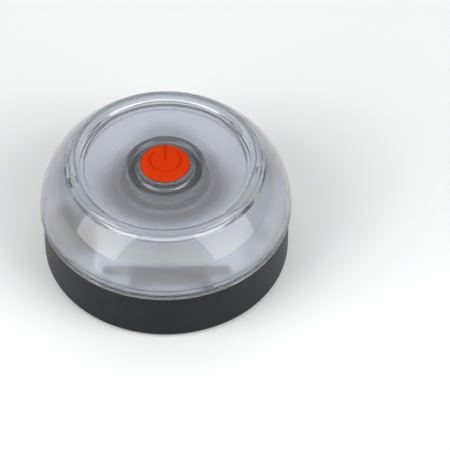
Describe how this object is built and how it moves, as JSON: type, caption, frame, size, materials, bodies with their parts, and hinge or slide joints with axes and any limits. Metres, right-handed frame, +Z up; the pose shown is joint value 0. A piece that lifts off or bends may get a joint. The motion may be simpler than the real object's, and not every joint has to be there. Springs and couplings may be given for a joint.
{
  "type": "led road flare",
  "caption": "Round magnetic LED road flare: dark base, rounded translucent lens with a dished top, and an orange push button in its centre.",
  "frame": {"origin": "centre of the footprint, on the plane that the rubber feet rest on", "axes": "+Z up through the button, +Y towards the magnets and away from the battery, so -Y is the side that the battery's face shows on"},
  "size_m": [0.0963, 0.0964, 0.0472],
  "materials": {
    "base_plastic": "satin",
    "door_plastic": "satin",
    "clear_lens": "glossy",
    "reflector_metal": "satin",
    "button_orange": "satin",
    "white_plastic": "satin",
    "carrier_plastic": "satin",
    "switch_white": "satin",
    "seal_rubber": "matte",
    "boot_rubber": "matte",
    "foot_rubber": "matte",
    "switch_plastic": "satin",
    "board_laminate": "satin",
    "led_package": "matte",
    "led_silicone": "glossy",
    "chip_epoxy": "matte",
    "resistor_body": "matte",
    "ferrite": "matte",
    "capacitor_can": "satin",
    "gold_pin": "polished",
    "screw_steel": "satin",
    "black_steel": "satin",
    "antenna_ceramic": "matte",
    "battery_jacket": "satin",
    "terminal_nickel": "satin",
    "contact_bronze": "satin",
    "wire_red": "glossy",
    "wire_black": "glossy",
    "foam_grey": "matte",
    "pin_steel": "polished",
    "magnet_nickel": "polished",
    "keeper_steel": "satin"
  },
  "bodies": {
    "housing": {"base_housing": "base_plastic", "housing_seal": "seal_rubber", "lens_dome": "clear_lens", "reflector": "reflector_metal", "button_boot": "boot_rubber", "switch_body": "switch_plastic", "led_board": "board_laminate", "led_bodies": "led_package", "led_lenses": "led_silicone", "control_chip": "chip_epoxy", "driver_chips": "chip_epoxy", "chip_resistors": "resistor_body", "inductor": "ferrite", "capacitors": "capacitor_can", "pin_header": "gold_pin", "board_screws": "screw_steel", "inner_frame": "white_plastic", "frame_screws": "black_steel", "antenna_block": "antenna_ceramic", "battery": "battery_jacket", "battery_terminals": "terminal_nickel", "battery_contacts": "contact_bronze", "lead_red": "wire_red", "lead_black": "wire_black", "hinge_pin": "pin_steel", "magnets": "magnet_nickel", "magnet_keeper": "keeper_steel", "keeper_screws": "screw_steel", "rubber_feet": "foot_rubber"},
    "button": {"button_cap": "button_orange", "button_carrier": "carrier_plastic"},
    "stem": {"switch_stem": "switch_white"},
    "door": {"battery_door": "door_plastic", "battery_pad": "foam_grey", "door_seal": "boot_rubber"}
  },
  "joints": [
    {"name": "button_press", "type": "slide", "parent": "housing", "child": "button", "axis": [0, 0, -1], "range_m": [0, 0.0006], "stiffness_N_per_m": 1200, "springref_m": -0.0004, "deforming": ["button_boot"]},
    {"name": "switch_press", "type": "slide", "parent": "housing", "child": "stem", "axis": [0, 0, -1], "range_m": [0, 0.0007]},
    {"name": "door_hinge", "type": "hinge", "parent": "housing", "child": "door", "pos_m": [0, -0.0135, 0.0021], "axis": [1, 0, 0], "range_deg": [0, 100]}
  ],
  "couplings": [
    {"joint": "switch_press", "follows": "button_press", "ratio": 1}
  ]
}
